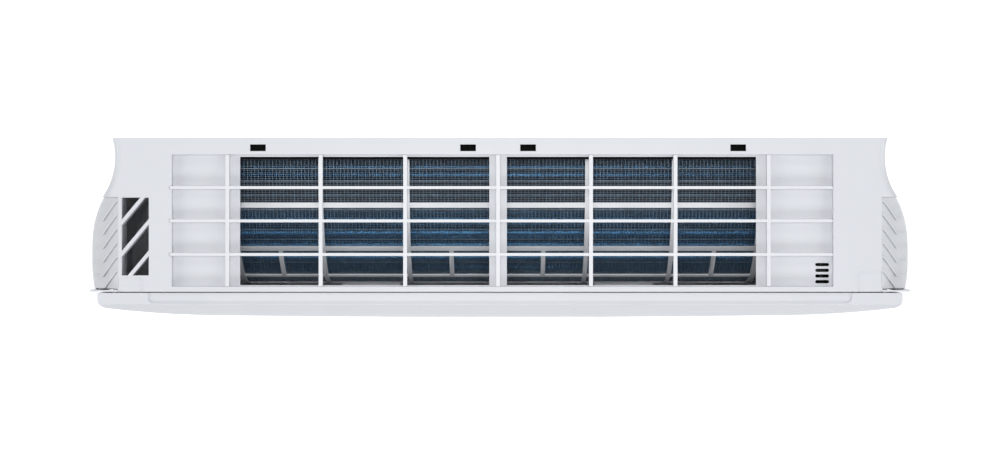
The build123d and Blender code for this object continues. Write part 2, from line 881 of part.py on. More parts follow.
def scroll_point(angle, extra):
    share = (angle - scroll_start_angle) / (scroll_end_angle - scroll_start_angle)
    radius = wheel_radius + scroll_gap + scroll_growth * share**2 + extra
    return polar((wheel_out, wheel_z), radius, angle)


def scroll_face():
    """The scroll behind the wheel, the outlet's lower wall and its return lip."""
    steps = 5
    turn = (scroll_end_angle - scroll_start_angle) / steps
    angles = [scroll_start_angle + i * turn for i in range(steps + 1)]
    inner = Spline(*[scroll_point(angle, 0) for angle in angles])
    outer = Spline(*[scroll_point(angle, skin) for angle in angles])
    lip_foot = bottom + skin + 0.5
    under = toward(outlet_lip, scroll_point(scroll_end_angle, 0), skin, skin)
    rest = Polyline(
        inner @ 1,
        outlet_lip,
        (outlet_lip[0], lip_foot),
        (outlet_lip[0] - skin, lip_foot),
        under,
        outer @ 1,
    )
    return make_face([inner, outer, *rest.edges(), Line(inner @ 0, outer @ 0)])


def end_wall_face():
    """The wall at each end of the wheel, inside the coils and up to the outlet."""
    foot, bend, coil_top = front_coil_line()
    rear_top, rear_foot = rear_coil_line()
    back = coil_thickness + end_wall_clear
    high = math.dist(bend, coil_top) - back
    return polygon(
        (chassis_back, rear_trough_z),
        (chassis_back, rear_foot[1] - 14),
        toward(rear_foot, rear_top, 0, -back),
        toward(rear_foot, rear_top, rear_coil_length - 6, -back),
        toward(bend, coil_top, high, back),
        (bend[0] - back, bend[1] - 10),
        (foot[0] - back, pan_rim),
        (pan_back - 1, pan_rim),
        (pan_back - 1, pan_floor - 4),
        outlet_throat[1],
        outlet_throat[0],
        (outlet_lip[0], outlet_lip[1] - 1),
        toward(outlet_lip, scroll_point(scroll_end_angle, 0), 1, 1),
        scroll_point(scroll_end_angle, 1),
        scroll_point(245, 1),
        scroll_point(215, 1),
        scroll_point(185, 1),
    )


def chassis():
    """The moulded back of the unit: back wall, scroll, end walls, rear trough, motor cradle and hooks."""
    back = (chassis_back, chassis_back + skin)
    body = block((-chassis_half, chassis_half), back, (wheel_z, chassis_top))
    body += block((-chassis_half, chassis_half), (0.5, rail_out), (chassis_top - skin, chassis_top))
    for x in ((-chassis_half, end_wall_left), (end_wall_right, chassis_half)):
        body += block(x, back, (chassis_foot, wheel_z))
    for x in ((-chassis_half, skin - chassis_half), (chassis_half - skin, chassis_half)):
        body += block(x, (0.5, back[1]), (chassis_foot, chassis_top))
    body += along_x(scroll_face(), end_wall_left, end_wall_right)
    trough_front = (rear_trough_out, rear_trough_z)
    start = scroll_point(scroll_start_angle, skin)
    trough = strip(
        [
            (chassis_back, rear_trough_z - skin),
            (rear_trough_out, rear_trough_z - skin),
            (rear_trough_out, rear_trough_z + rear_trough_height),
        ],
        thin_wall,
    )
    web = polygon(
        (rear_trough_out - skin, trough_front[1] - skin),
        (rear_trough_out, trough_front[1] - skin),
        scroll_point(scroll_start_angle, 0),
        start,
    )
    body += along_x(trough + web, end_wall_left, end_wall_right)
    body += along_x(end_wall_face(), end_wall_left - skin, end_wall_left)
    body += along_x(end_wall_face(), end_wall_right, end_wall_right + skin)
    shaft_hole = (end_wall_left - 2 * skin, end_wall_right + 2 * skin)
    body -= rod_x(hub_radius + 1, shaft_hole, wheel_out, wheel_z)
    cradle_half = motor_radius + 11.0
    cradle_z = (wheel_z - cradle_half, wheel_z + cradle_half)
    cradle = block(cradle_x, (back[0], wheel_out), cradle_z)
    cradle -= block((cradle_x[0] + skin, cradle_x[1] - skin), (back[1], wheel_out - skin), cradle_z)
    cradle -= rod_x(motor_radius + 0.2, (cradle_x[0] - 1, cradle_x[1] + 1), wheel_out, wheel_z)
    body += cradle
    for place in hook_slot_places:
        for sign in (-1, 1):
            middle = intake_centre + sign * place
            x = (middle - hook_slot_length / 2 + 2, middle + hook_slot_length / 2 - 2)
            out = (hook_slot_out - hook_slot_width / 2 + 1, hook_slot_out + hook_slot_width / 2 - 1)
            body += block(x, out, (chassis_top - skin, recess_floor))
    for x in (-hanger_x, hanger_x):
        ends = (x - hanger_width / 2, x + hanger_width / 2)
        body += block(ends, (plate_thickness + 0.3, back[0]), (plate_z[1] + 10, plate_z[1] + 16))
        body += block(ends, (plate_thickness + 0.3, plate_thickness + 2.3), (plate_z[1], plate_z[1] + 16))
    return body


def drain_pan():
    """The front trough with its spigots, the outlet's upper wall, throat walls and the vane's end plates."""
    trough = strip(
        [(pan_back, pan_rim), (pan_back, pan_floor), (pan_front, pan_floor), (pan_front, pan_rim)], thin_wall
    )
    rear_wall_out = pan_back + thin_wall
    ends = (rear_wall_out, pan_front - thin_wall)
    body = along_x(trough, end_wall_left, end_wall_right)
    body += block((end_wall_left, end_wall_left + thin_wall), ends, (pan_floor, pan_rim))
    body += block((end_wall_right - thin_wall, end_wall_right), ends, (pan_floor, pan_rim))
    roof = strip([(pan_back, pan_floor), outlet_nose], skin)
    body += along_x(roof, -outlet_plate_x, outlet_plate_x)
    front_low = outlet_nose[1] + skin
    body += block((end_wall_left, end_wall_right), (pan_front - thin_wall, pan_front), (front_low, pan_floor))
    throat = strip([(outlet_lip[0] - skin, outlet_lip[1]), *outlet_throat, outlet_nose], thin_wall)
    body += along_x(throat, -outlet_plate_x, end_wall_left - skin)
    body += along_x(throat, end_wall_right + skin, outlet_plate_x)
    cheek = polygon((pan_back, pan_floor), outlet_nose, outlet_throat[1], outlet_throat[0], outlet_cheek)
    body += along_x(cheek, end_wall_left, end_wall_left + skin)
    body += along_x(cheek, end_wall_right - skin, end_wall_right)
    chin = Pos(*chin_centre()) * Circle(chin_radius - skin - 0.5)
    plate = chin & polygon(
        (outlet_lip[0] - skin - 1, outlet_lip[1]),
        (outlet_lip[0] - skin - 1, outlet_throat[0][1] + 3),
        toward((pan_back, pan_floor), outlet_nose, 0, 1),
        toward(outlet_nose, (pan_back, pan_floor), 0, -1),
        (outlet_nose[0] + 10, outlet_nose[1] - 5),
        (outlet_nose[0], bottom),
        (outlet_back_out, bottom),
    )
    for x in (-outlet_plate_x - thin_wall, outlet_plate_x):
        body += along_x(plate, x, x + thin_wall)
    for x in casing_screw_xs:
        body += rod_out(screw_boss_radius, x, (pan_front - screw_length, front_wall_out - skin), casing_screw_z)
        body -= rod_out(screw_radius, x, (pan_front - screw_length, front_wall_out), casing_screw_z)
    body -= rod_x(vane_pin_radius + running_gap, (-outlet_open_half, outlet_open_half), *vane_pivot)
    spigot_z = pan_floor + thin_wall + spigot_bore
    for x in ((end_wall_left - spigot_length, end_wall_left), (end_wall_right, end_wall_right + spigot_length)):
        body += rod_x(spigot_radius, x, spigot_out, spigot_z)
        body -= rod_x(spigot_bore, (x[0] - 3, x[1] + 3), spigot_out, spigot_z)
    for i in range(2 * louvre_count):
        body -= louvre_rod(i, louvre_pin_radius + running_gap, -2 * skin, 1)
    return body


def drain_cap():
    """The rubber cap on the spigot that isn't used."""
    x = (end_wall_right + spigot_length - 14, end_wall_right + spigot_length + 2)
    z = pan_floor + thin_wall + spigot_bore
    return rod_x(spigot_radius + 2, x, spigot_out, z) - rod_x(spigot_radius, (x[0], x[1] - 2), spigot_out, z)


def louvre_plane(index):
    """Origin on the outlet's roof; local X runs with the air, local Y down from the roof, local Z along X."""
    place = (
        pan_back + (outlet_nose[0] - pan_back) * louvre_place,
        pan_floor + (outlet_nose[1] - pan_floor) * louvre_place,
    )
    length = math.dist((pan_back, pan_floor), outlet_nose)
    flow = ((outlet_nose[0] - pan_back) / length, (outlet_nose[1] - pan_floor) / length)
    x = louvre_middle_x + (index - louvre_count + 0.5) * louvre_pitch
    return Plane(origin=(x, -place[0], place[1]), x_dir=(0, -flow[0], flow[1]), z_dir=(1, 0, 0))


def louvre_rod(index, radius, start, end, along=0.0):
    """A round pin square to the outlet's roof."""
    rod = Pos(along, (start + end) / 2, 0) * (Rot(90, 0, 0) * Cylinder(radius, end - start))
    return louvre_plane(index) * rod


def louvre(index):
    """A guide blade with its pivot in the roof and a pin for the link bar in its rear corner."""
    rear, front = louvre_chord
    notch = link_middle + link_width / 2 + 1.5
    face = polygon(
        (rear, 1),
        (front, 1),
        (front, louvre_height - 8),
        (front - 7, louvre_height),
        (notch, louvre_height),
        (notch, link_drop - 2),
        (rear, link_drop - 2),
    )
    blade = louvre_plane(index) * (Pos(0, 0, -louvre_thickness / 2) * extrude(face, amount=louvre_thickness))
    pivot = louvre_rod(index, louvre_pin_radius, -skin, 2)
    pin = louvre_rod(index, link_pin_radius, link_drop - 3, link_drop + link_thickness + 2, -louvre_arm)
    return blade + pivot + pin


def louvre_link(group):
    """The bar that swings one group of blades together, with a slot for each blade's pin."""
    first = group * louvre_count
    length = (louvre_count - 1) * louvre_pitch + 2 * link_end
    middle = first + (louvre_count - 1) / 2
    bar = Pos(link_middle, link_drop + link_thickness / 2, 0) * Box(link_width, link_thickness, length)
    bar = louvre_plane(middle) * bar
    swing = louvre_arm * (1 - math.cos(math.radians(louvre_swing)))
    half_length = link_pin_radius + swing / 2 + slide_gap
    half_width = link_pin_radius + 2 * slide_gap
    slots = []
    for i in range(louvre_count):
        slot = Pos(-louvre_arm + swing / 2, link_drop, 0) * Box(2 * half_length, 8, 2 * half_width)
        slots.append(louvre_plane(first + i) * slot)
    return bar - slots


def vane():
    """The curved flap that closes the outlet, with an end lug and pin at each end."""
    low, high = vane_low_angle - 90, vane_high_angle - 90
    centre = chin_centre()
    body = along_x(arc_band(centre, chin_radius, chin_radius - vane_thickness, low, high), -vane_half, vane_half)
    for angle in vane_rib_angles:
        rib = arc_band(centre, chin_radius - vane_thickness, chin_radius - vane_thickness - 3, angle - 90, angle - 89)
        body += along_x(rib, 6 - vane_half, vane_half - 6)
    web = polygon(
        (vane_pivot[0] - 4.5, vane_pivot[1] - 2),
        chin_point(vane_low_angle + 4, 1),
        chin_point(vane_low_angle + 16, 1),
        (vane_pivot[0] + 4.5, vane_pivot[1] + 2),
    )
    lug = web + Pos(*vane_pivot) * Circle(2 * vane_pin_radius)
    for sign in (-1, 1):
        x = sorted((sign * (vane_half - 1), sign * (vane_half - 4)))
        body += along_x(lug, *x)
    body += rod_x(vane_pin_radius, (-outlet_plate_x - thin_wall, 1 - vane_half), *vane_pivot)
    body += rod_x(vane_pin_radius, (vane_half - 1, outlet_plate_x + thin_wall + 8), *vane_pivot)
    return body


def vane_motor():
    x = (outlet_plate_x + thin_wall, outlet_plate_x + thin_wall + 18)
    body = rod_x(vane_motor_radius, x, *vane_pivot)
    ear_z = (vane_pivot[1] + vane_motor_radius - 2, vane_pivot[1] + vane_motor_radius + 8)
    body += block((x[0], x[0] + 1.2), (vane_pivot[0] - 4, vane_pivot[0] + 4), ear_z)
    return body - rod_x(vane_pin_radius + running_gap, (x[0] - 1, x[0] + 10), *vane_pivot)


def fan_wheel():
    """The cross-flow wheel: curved blades between discs, with a boss at each end."""
    length = wheel_right - wheel_left
    places = [wheel_left + i * (length - disc_thickness) / wheel_segments for i in range(wheel_segments + 1)]
    centre = (wheel_out, wheel_z)
    wheel = rod_x(wheel_radius, (places[0], places[0] + disc_thickness), *centre)
    wheel += rod_x(wheel_radius, (places[-1], wheel_right), *centre)
    ring = Circle(wheel_radius) - Circle(blade_inner_radius - 3)
    for x in places[1:-1]:
        wheel += along_x(Pos(*centre) * ring, x, x + disc_thickness)
    blades = []
    for i in range(blade_count):
        angle = 360 / blade_count * i
        root = polar(centre, blade_inner_radius, angle)
        tip = polar(centre, wheel_radius - 0.6, angle + blade_lean)
        rise = toward(root, tip, math.dist(root, tip) / 2, -blade_bow)
        rise_back = toward(root, tip, math.dist(root, tip) / 2, blade_thickness - blade_bow)
        root_back = polar(centre, blade_inner_radius, angle + 1.5)
        tip_back = polar(centre, wheel_radius - 0.6, angle + blade_lean + 1.2)
        face = make_face(
            [
                ThreePointArc(root, rise, tip),
                Line(tip, tip_back),
                ThreePointArc(tip_back, rise_back, root_back),
                Line(root_back, root),
            ]
        )
        blades.append(along_x(face, wheel_left + 1, wheel_right - 1))
    wheel = wheel + blades
    wheel += rod_x(hub_radius, (places[0], places[0] + 8), *centre)
    wheel += rod_x(hub_radius, (wheel_right - 16, wheel_right), *centre)
    wheel -= rod_x(shaft_radius, (wheel_left - 1, wheel_left + 9), *centre)
    return wheel - rod_x(shaft_radius, (wheel_right - 17, wheel_right + 1), *centre)


def fan_stub_shaft():
    return rod_x(shaft_radius, (end_wall_left - 11, wheel_left + 8), wheel_out, wheel_z)


def motor_shaft():
    return rod_x(shaft_radius, (wheel_right - 15, motor_x[0] + 20), wheel_out, wheel_z)


def fan_motor():
    body = rod_x(motor_radius, motor_x, wheel_out, wheel_z)
    body = fillet(body.edges(), 4)
    body += rod_x(13, (motor_x[0] - 2.5, motor_x[1] + 2.5), wheel_out, wheel_z)
    bore = (motor_x[0] - 3, motor_x[0] + 22)
    return body - rod_x(shaft_radius + running_gap, bore, wheel_out, wheel_z)


def motor_clamp():
    """A steel strap over the motor's front, on the cradle's two ledges."""
    centre = (wheel_out, wheel_z)
    band = arc_band(centre, motor_radius + 2.2, motor_radius + 0.2, -90, 90)
    body = along_x(band, *clamp_x)
    for sign in (-1, 1):
        z = sorted((wheel_z + sign * (motor_radius + 0.2), wheel_z + sign * (motor_radius + 11)))
        body += block(clamp_x, (wheel_out, wheel_out + 2), z)
    return body


def bearing_holder():
    x = (end_wall_left - skin - bearing_length - 3, end_wall_left - skin)
    body = rod_x(bearing_radius + 4, x, wheel_out, wheel_z)
    body += block((x[1] - 3, x[1]), (wheel_out - 24, wheel_out + 24), (wheel_z - 7, wheel_z + 7))
    return body - rod_x(bearing_radius, (x[0] - 1, x[1] + 1), wheel_out, wheel_z)


def fan_bearing():
    x = (end_wall_left - skin - bearing_length - 1, end_wall_left - skin - 1)
    body = rod_x(bearing_radius, x, wheel_out, wheel_z)
    return body - rod_x(shaft_radius + running_gap, (x[0] - 1, x[1] + 1), wheel_out, wheel_z)


def pipe(radius, x_turn, z_run, row):
    """A copper pipe from the rear coil's right end, down behind the motor and along the back."""
    rear_top, rear_foot = rear_coil_line()
    start = toward(rear_top, rear_foot, rear_coil_length / 2, row)
    route = FilletPolyline(
        (end_wall_right, -start[0], start[1]),
        (x_turn, -start[0], start[1]),
        (x_turn, -pipe_run_out, start[1] - pipe_drop),
        (x_turn, -pipe_run_out, z_run),
        (union_x, -pipe_run_out, z_run),
        radius=1.6 * radius,
    )
    return sweep(Plane(route @ 0, z_dir=route % 0) * Circle(radius), path=route)


def gas_pipe():
    return pipe(gas_radius, gas_turn_x, gas_run_z, tube_rows[0])


def liquid_pipe():
    return pipe(liquid_radius, liquid_turn_x, liquid_run_z, tube_rows[1])


def pipe_unions():
    """The brass unions at the pipes' free ends: a hexagon and a round end for the line set's flare nut."""
    unions = []
    for radius, hexagon, z in (
        (gas_union_radius, 9.5, gas_run_z),
        (liquid_union_radius, 7.5, liquid_run_z),
    ):
        collar = Pos(pipe_run_out, z) * RegularPolygon(hexagon, 6)
        body = along_x(collar, union_x - 8, union_x)
        body += rod_x(radius, (union_x - 8 - union_length, union_x - 8), pipe_run_out, z)
        unions.append(body)
    return unions


def mounting_plate():
    """The steel plate on the wall, with stiffening flanges, windows, screw holes and two upturned hooks."""
    z_low, z_high = plate_z
    body = block((-plate_half, plate_half), (0, plate_thickness), plate_z)
    for z in ((z_low, z_low + plate_thickness), (z_high - plate_thickness, z_high)):
        body += block((-plate_half, plate_half), (0, plate_flange), z)
    for i in range(plate_windows):
        middle = (i - (plate_windows - 1) / 2) * plate_window_pitch
        x = (middle - plate_window_size[0] / 2, middle + plate_window_size[0] / 2)
        z_middle = plate_hole_middle_z + plate_window_rise
        z = (z_middle - plate_window_size[1] / 2, z_middle + plate_window_size[1] / 2)
        body -= block(x, (-1, plate_thickness + 1), z)
    for x in (-hanger_x, hanger_x):
        ends = (x - hanger_width / 2 + 2, x + hanger_width / 2 - 2)
        body += block(ends, (plate_thickness, plate_flange), (z_high - plate_thickness, z_high))
        body += block(ends, (plate_flange - plate_thickness, plate_flange), (z_high, z_high + 8))
    for x in (-plate_hole_spacing_x / 2, plate_hole_spacing_x / 2):
        for rise in (-plate_hole_spacing_z / 2, plate_hole_spacing_z / 2):
            body -= rod_out(plate_hole_radius, x, (-1, plate_thickness + 1), plate_hole_middle_z + rise)
    return body


def control_box():
    """An open box for the electronics, on two feet against the chassis."""
    inner_x = (box_x[0] + thin_wall, box_x[1] - thin_wall)
    inner_z = (box_z[0] + thin_wall, box_z[1] - thin_wall)
    body = block(box_x, box_out, box_z) - block(inner_x, (box_out[0] + thin_wall, box_out[1] + 1), inner_z)
    for z in (box_z[0] + 10, box_z[1] - 25):
        body += block((box_x[0] + 20, box_x[1] - 20), (chassis_back + skin, box_out[0]), (z, z + 12))
    return body


def control_box_cover():
    return block(box_x, (box_out[1], box_out[1] + thin_wall), box_z)


def control_board():
    """The circuit board on four posts, with its larger components."""
    x = (box_x[0] + 5, box_x[1] - 5)
    z = (box_z[0] + 5, box_z[1] - 5)
    face_out = board_out + board_thickness
    board = block(x, (board_out, face_out), z)
    for post_x in (x[0] + 6, x[1] - 6):
        for post_z in (z[0] + 6, z[1] - 6):
            board += rod_out(3, post_x, (box_out[0] + thin_wall, board_out), post_z)
    for part_x, part_z, size_x, size_z, rise in board_parts:
        board += block((x[0] + part_x, x[0] + part_x + size_x), (face_out, face_out + rise), (z[0] + part_z, z[0] + part_z + size_z))
    for part_x, part_z, radius, rise in board_cans:
        board += rod_out(radius, x[0] + part_x, (face_out, face_out + rise), z[0] + part_z)
    return board


def terminal_block():
    """A block of screw terminals on the floor of the control box."""
    x = (box_x[0] + 12, box_x[0] + 72)
    out = (box_out[1] - 34, box_out[1] - 12)
    low = box_z[0] + thin_wall
    body = block(x, out, (low, low + 14))
    for i in range(6):
        middle = x[0] + 1 + i * 11.6
        body += block((middle - 1, middle + 1), out, (low, low + 19))
    return body


def display_board():
    x = (display_x[0] - 6, display_x[1] + 6)
    return block(x, (front_wall_out, front_wall_out + 2.5), (display_z[0] - 3, display_z[1] + 3))


def room_thermistor():
    """The room sensor in its clip on the control box, under the four slots."""
    clip = block((vent_slot_x - 5, vent_slot_x + 5), (132, 142), (box_z[1], box_z[1] + 5))
    return clip + rod_out(2.5, vent_slot_x, (128, 146), box_z[1] + 6)


def pipe_thermistor():
    """The coil sensor's copper sleeve, against the right tube sheet."""
    foot = front_coil_line()[0]
    return rod_x(3.0, (end_wall_right, end_wall_right + 18), foot[0] - coil_thickness / 2, foot[1] + 5)


def casing_screws():
    screws = []
    for x in casing_screw_xs:
        shank = rod_out(screw_radius, x, (pan_front - screw_length + 2, front_wall_out), casing_screw_z)
        head = rod_out(screw_head_radius, x, (front_wall_out, front_wall_out + screw_head_height), casing_screw_z)
        screws.append(shank + head)
    return screws


def screw_caps():
    caps = []
    for x in casing_screw_xs:
        out = (front_wall_out, front_wall_out + screw_head_height + 1.2)
        cap = rod_out(cap_radius, x, out, casing_screw_z)
        caps.append(cap - rod_out(cap_radius - 1.2, x, (out[0], out[1] - 0.9), casing_screw_z))
    return caps


def auto_button():
    """The hand button beside the service window, with a flange behind the wall."""
    wall_inner = front_wall_out - skin
    body = rod_out(button_radius, button_x, (wall_inner - 2, front_wall_out + 2.5), button_z)
    return body + rod_out(button_radius + 1.5, button_x, (wall_inner - 2.3, wall_inner - 0.3), button_z)


SINGLE = [
    mounting_plate,
    chassis,
    casing,
    intake_grille,
    side_panel_left,
    side_panel_right,
    front_panel,
    display_window,
    evaporator_front,
    evaporator_rear,
    evaporator_seal,
    tube_sheet_left,
    tube_sheet_right,
    tube_bends_left,
    tube_bends_right,
    gas_pipe,
    liquid_pipe,
    pipe_unions,
    drain_pan,
    drain_cap,
    vane,
    vane_motor,
    fan_wheel,
    fan_stub_shaft,
    motor_shaft,
    fan_motor,
    motor_clamp,
    bearing_holder,
    fan_bearing,
    control_box,
    control_box_cover,
    control_board,
    terminal_block,
    display_board,
    room_thermistor,
    pipe_thermistor,
    casing_screws,
    screw_caps,
    auto_button,
]


def write(name, shape):
    if isinstance(shape, list):
        shape = Compound(children=shape)
    export_step(shape, f"parts/{name}.step")


def main():
    os.makedirs("parts", exist_ok=True)
    for make in SINGLE:
        write(make.__name__, make())
    for side, word in ((-1, "left"), (1, "right")):
        write(f"filter_{word}_frame", filter_frame(side))
        write(f"filter_{word}_mesh", filter_mesh(side))
        group = (side + 1) // 2
        write(f"louvre_link_{word}", louvre_link(group))
        for i in range(louvre_count):
            write(f"louvre_{word}_{i + 1}", louvre(group * louvre_count + i))


main()
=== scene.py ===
import math

import bmesh
import bpy
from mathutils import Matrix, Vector


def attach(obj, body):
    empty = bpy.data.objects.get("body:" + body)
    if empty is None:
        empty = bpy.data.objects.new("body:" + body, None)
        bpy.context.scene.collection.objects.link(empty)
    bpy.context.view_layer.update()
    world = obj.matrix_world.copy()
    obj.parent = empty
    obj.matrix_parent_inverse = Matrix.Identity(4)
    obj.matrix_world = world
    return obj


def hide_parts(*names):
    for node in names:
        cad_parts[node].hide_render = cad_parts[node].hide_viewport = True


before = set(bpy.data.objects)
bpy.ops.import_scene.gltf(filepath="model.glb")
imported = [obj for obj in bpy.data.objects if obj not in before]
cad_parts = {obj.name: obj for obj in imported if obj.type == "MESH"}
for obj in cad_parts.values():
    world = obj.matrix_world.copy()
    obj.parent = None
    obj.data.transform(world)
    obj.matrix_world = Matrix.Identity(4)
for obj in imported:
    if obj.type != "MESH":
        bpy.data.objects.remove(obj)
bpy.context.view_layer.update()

# Plan sizes are in millimetres, with "out" the distance from the wall, as in the CAD source.
MM = 0.001

# Camera: straight above the unit, the wall at the top of the picture
CAMERA_PLACE = (0.0, -0.0913, 2.349)
CAMERA_LENS = 76.7
SENSOR_WIDTH = 36.0
FLOOR_Z = -0.52
FLOOR_HALF = 7.0

# Soft light from five sides: name, place, target, size in metres and energy
LIGHTS = (
    ("softbox_top", (0.0, 0.0, 3.4), (0.0, -0.1, 0.0), (1.5, 1.0), 41.0),
    ("softbox_front", (0.3, -2.6, 1.7), (0.0, -0.15, 0.0), (3.0, 1.0), 40.0),
    ("softbox_back", (-0.3, 2.4, 1.9), (0.0, 0.0, 0.0), (3.0, 1.0), 18.0),
    ("softbox_left", (-2.7, -0.1, 1.5), (-0.2, -0.1, 0.0), (1.0, 1.6), 30.0),
    ("softbox_right", (2.7, -0.1, 1.5), (0.2, -0.1, 0.0), (1.0, 1.6), 30.0),
)
WORLD_COLOUR = (0.93, 0.95, 1.0, 1.0)
WORLD_STRENGTH = 0.26

# Materials: where most of the noise lies, how far the gloss strays, and the grain's depth in metres
NOISE_RANGE = (0.25, 0.75)
GLOSS_SPREAD = 0.12
RELIEF_DEPTH = 0.0002

# Coils: the outer faces in side view, and the fins and tubes inside them
COIL_ENDS = (-296.8, 279.8)
COIL_THICKNESS = 22.0
FRONT_COIL = [(141.45, -42.0), (141.45, 28.0), (76.06, 107.99)]
REAR_COIL = [(42.01, 92.17), (12.5, 26.5)]
FIN_PITCH = 1.9
FIN_THICKNESS = 0.32
TUBE_ROWS = (5.5, 16.5)
TUBE_RADIUS = 3.5
TUBE_SIDES = 10
TUBE_BEND_RADIUS = 10.5
BEND_PITCH = 4 * TUBE_BEND_RADIUS
TUBE_END_MARGIN = 30.0

# Filter nets: threads on an arc about the filters' axis
FILTER_AXIS = (30.0, 0.0)
NET_RADIUS = 122.05
NET_ANGLES = (-1.25, 95.15)
NETS = {"left": (-275.3, -9.1), "right": (3.5, 269.7)}
WARP_PITCH = 3.76
WEFT_PITCH = 2.14
WARP_WIDTH = 0.46
WEFT_WIDTH = 0.34
NET_RIB_WIDTH = 0.9
NET_RIB_ANGLES = (89.4, 83.3, 76.3, 68.9, 57.8, 51.8, 42.9, 34.8, 22.8, 9.5)
NET_DEPTH = 0.24
NET_OVERLAP = 0.04
NET_ARC_STEPS = 48


def point(x, out, z):
    """A place in metres from X, distance from the wall and height in millimetres."""
    return (x * MM, -out * MM, z * MM)


def add_object(name, data):
    made = bpy.data.objects.new(name, data)
    bpy.context.scene.collection.objects.link(made)
    return made


# ---- materials

def new_material(name):
    material = bpy.data.materials.new(name)
    material.use_nodes = True
    return material, material.node_tree.nodes, material.node_tree.links


def noise(nodes, links, scale, detail=3.0, stretch=(1, 1, 1)):
    """Noise in the object's own metres, so that its scale is the same on every piece."""
    place = nodes.new("ShaderNodeTexCoord")
    mapping = nodes.new("ShaderNodeMapping")
    mapping.inputs["Scale"].default_value = stretch
    texture = nodes.new("ShaderNodeTexNoise")
    texture.inputs["Scale"].default_value = scale
    texture.inputs["Detail"].default_value = detail
    links.new(place.outputs["Object"], mapping.inputs["Vector"])
    links.new(mapping.outputs["Vector"], texture.inputs["Vector"])
    return texture.outputs["Fac"]


def ramp(nodes, links, source, low, high, spread=(0.3, 0.7)):
    node = nodes.new("ShaderNodeValToRGB")
    for element, place, colour in zip(node.color_ramp.elements, spread, (low, high)):
        element.position = place
        element.color = (*colour, 1.0)
    links.new(source, node.inputs["Fac"])
    return node.outputs["Color"]


def rescale(nodes, links, source, low, high):
    node = nodes.new("ShaderNodeMapRange")
    node.inputs["From Min"].default_value, node.inputs["From Max"].default_value = NOISE_RANGE
    node.inputs["To Min"].default_value = low
    node.inputs["To Max"].default_value = high
    links.new(source, node.inputs["Value"])
    return node.outputs["Result"]


def surface(name, colour, roughness, grain, bump, tone=0.03, metallic=0.0, stretch=(1, 1, 1),
            coat=0.0, cloud=22.0, specular=0.5, glow=0.0):
    """A material with a fine grain in its relief and slow changes of tone and gloss."""
    material, nodes, links = new_material(name)
    shader = nodes["Principled BSDF"]
    shader.inputs["Metallic"].default_value = metallic
    shader.inputs["Coat Weight"].default_value = coat
    shader.inputs["Specular IOR Level"].default_value = specular
    shader.inputs["Emission Color"].default_value = (1.0, 1.0, 1.0, 1.0)
    shader.inputs["Emission Strength"].default_value = glow
    slow = noise(nodes, links, cloud, 4.0, stretch)
    fine = noise(nodes, links, grain, 2.0, stretch)
    darker = [channel * (1 - tone) for channel in colour]
    lighter = [min(1.0, channel * (1 + tone)) for channel in colour]
    links.new(ramp(nodes, links, slow, darker, lighter), shader.inputs["Base Color"])
    duller, glossier = roughness * (1 + GLOSS_SPREAD), roughness * (1 - GLOSS_SPREAD)
    links.new(rescale(nodes, links, fine, glossier, duller), shader.inputs["Roughness"])
    relief = nodes.new("ShaderNodeBump")
    relief.inputs["Strength"].default_value = bump
    relief.inputs["Distance"].default_value = RELIEF_DEPTH
    links.new(fine, relief.inputs["Height"])
    links.new(relief.outputs["Normal"], shader.inputs["Normal"])
    return material


